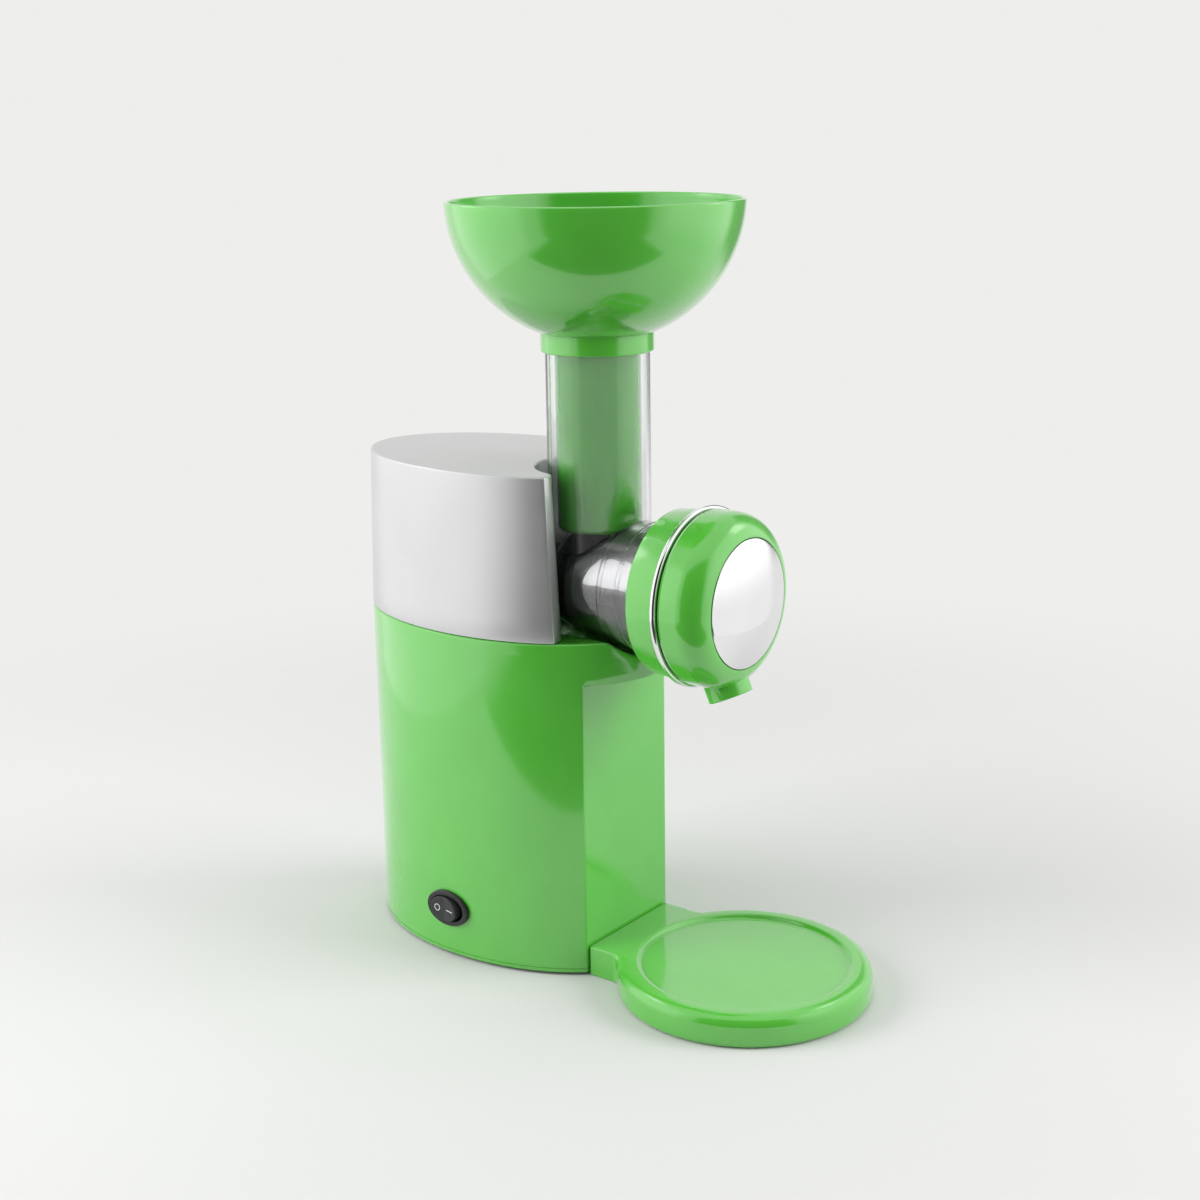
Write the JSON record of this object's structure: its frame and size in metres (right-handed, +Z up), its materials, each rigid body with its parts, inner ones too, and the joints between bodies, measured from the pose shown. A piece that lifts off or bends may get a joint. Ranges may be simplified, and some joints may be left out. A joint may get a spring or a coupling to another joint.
{
  "type": "frozen fruit dessert maker",
  "caption": "Countertop frozen fruit dessert maker: oval motor body, clear chute with bowl-topped plunger, cone shaver drum, round front cap with nozzle, and a cup plate.",
  "frame": {"origin": "middle of the footprint, on the table", "axes": "+Z up, -Y towards the front (nozzle and cup plate), +X to the right seen from the front"},
  "size_m": [0.1499, 0.3068, 0.4],
  "materials": {
    "green_plastic": "high-gloss moulded",
    "silver_paint": "satin metallic paint over moulded plastic",
    "clear_plastic": "clear, polished",
    "black_plastic": "fine satin",
    "black_rubber": "matt",
    "chrome": "mirror",
    "brushed_steel": "brushed",
    "white_rubber": "satin silicone",
    "zinc_steel": "zinc plated",
    "cast_aluminium": "as cast",
    "bronze": "sintered",
    "copper": "enamelled copper",
    "white_nylon": "moulded nylon",
    "carbon": "matt",
    "wire_insulation": "satin"
  },
  "bodies": {
    "root": {"base_housing": "green_plastic", "bottom_cover": "green_plastic", "rubber_feet": "black_rubber", "base_screws": "zinc_steel", "cup_plate": "green_plastic", "plate_screws": "zinc_steel", "upper_cover": "silver_paint", "drum_collar": "black_plastic", "collar_screws": "zinc_steel", "chute": "clear_plastic", "liner_seat": "black_rubber", "steel_liner": "brushed_steel", "outlet_gasket": "white_rubber", "output_bushes": "bronze", "shaft_seal": "black_rubber", "idler_pin": "zinc_steel", "gear_case": "cast_aluminium", "gear_lid": "cast_aluminium", "lid_screws": "zinc_steel", "field_stack": "zinc_steel", "field_coils": "copper", "end_bracket": "zinc_steel", "motor_bushes": "bronze", "brush_holders": "bronze", "carbon_brushes": "carbon", "motor_bolts": "zinc_steel", "motor_carrier": "zinc_steel", "carrier_screws": "zinc_steel", "switch_body": "black_plastic", "rocker_pin": "zinc_steel", "switch_terminals": "bronze", "cord_inlet": "black_rubber", "cord_clamp": "white_nylon", "clamp_screws": "zinc_steel", "terminal_block": "white_nylon", "lead_wires": "wire_insulation"},
    "plunger": {"plunger_bowl": "green_plastic", "plunger_stem": "green_plastic", "plunger_tip": "black_rubber"},
    "lock": {"lock_ring": "green_plastic", "chrome_ring": "chrome"},
    "cap": {"front_cap": "green_plastic", "chrome_dome": "chrome"},
    "motor": {"motor_pinion": "bronze", "motor_shaft": "zinc_steel", "armature_stack": "zinc_steel", "armature_winding": "copper", "commutator": "copper", "cooling_fan": "white_nylon"},
    "idler": {"idler_gear": "white_nylon"},
    "rotor": {"rotor_cone": "black_plastic", "cone_blades": "brushed_steel", "rotor_nut": "zinc_steel", "output_shaft": "zinc_steel", "output_wheel": "white_nylon"},
    "rocker": {"switch_rocker": "black_plastic"}
  },
  "joints": [
    {"name": "plunger_lift", "type": "slide", "parent": "root", "child": "plunger", "axis": [0, 0, 1], "range_m": [0, 0.115]},
    {"name": "lock_turn", "type": "hinge", "parent": "root", "child": "lock", "pos_m": [0, -0.05205, 0.2068], "axis": [0, 1, 0], "range_deg": [0, 60]},
    {"name": "cap_pull", "type": "slide", "parent": "root", "child": "cap", "axis": [0, -1, 0], "range_m": [0, 0.04]},
    {"name": "motor_spin", "type": "hinge", "parent": "root", "child": "motor", "pos_m": [0, 0.03795, 0.1393], "axis": [0, 1, 0], "continuous": true},
    {"name": "idler_spin", "type": "hinge", "parent": "root", "child": "idler", "pos_m": [0, 0.07695, 0.17305], "axis": [0, 1, 0], "continuous": true},
    {"name": "rotor_spin", "type": "hinge", "parent": "root", "child": "rotor", "pos_m": [0, -0.00005, 0.2068], "axis": [0, 1, 0], "continuous": true},
    {"name": "rocker_tilt", "type": "hinge", "parent": "root", "child": "rocker", "pos_m": [-0.0545, 0.06325, 0.0279], "axis": [0, 0, 1], "range_deg": [0, 12]}
  ],
  "couplings": [
    {"joint": "idler_spin", "follows": "motor_spin", "ratio": -0.28571},
    {"joint": "rotor_spin", "follows": "motor_spin", "ratio": 0.1}
  ]
}
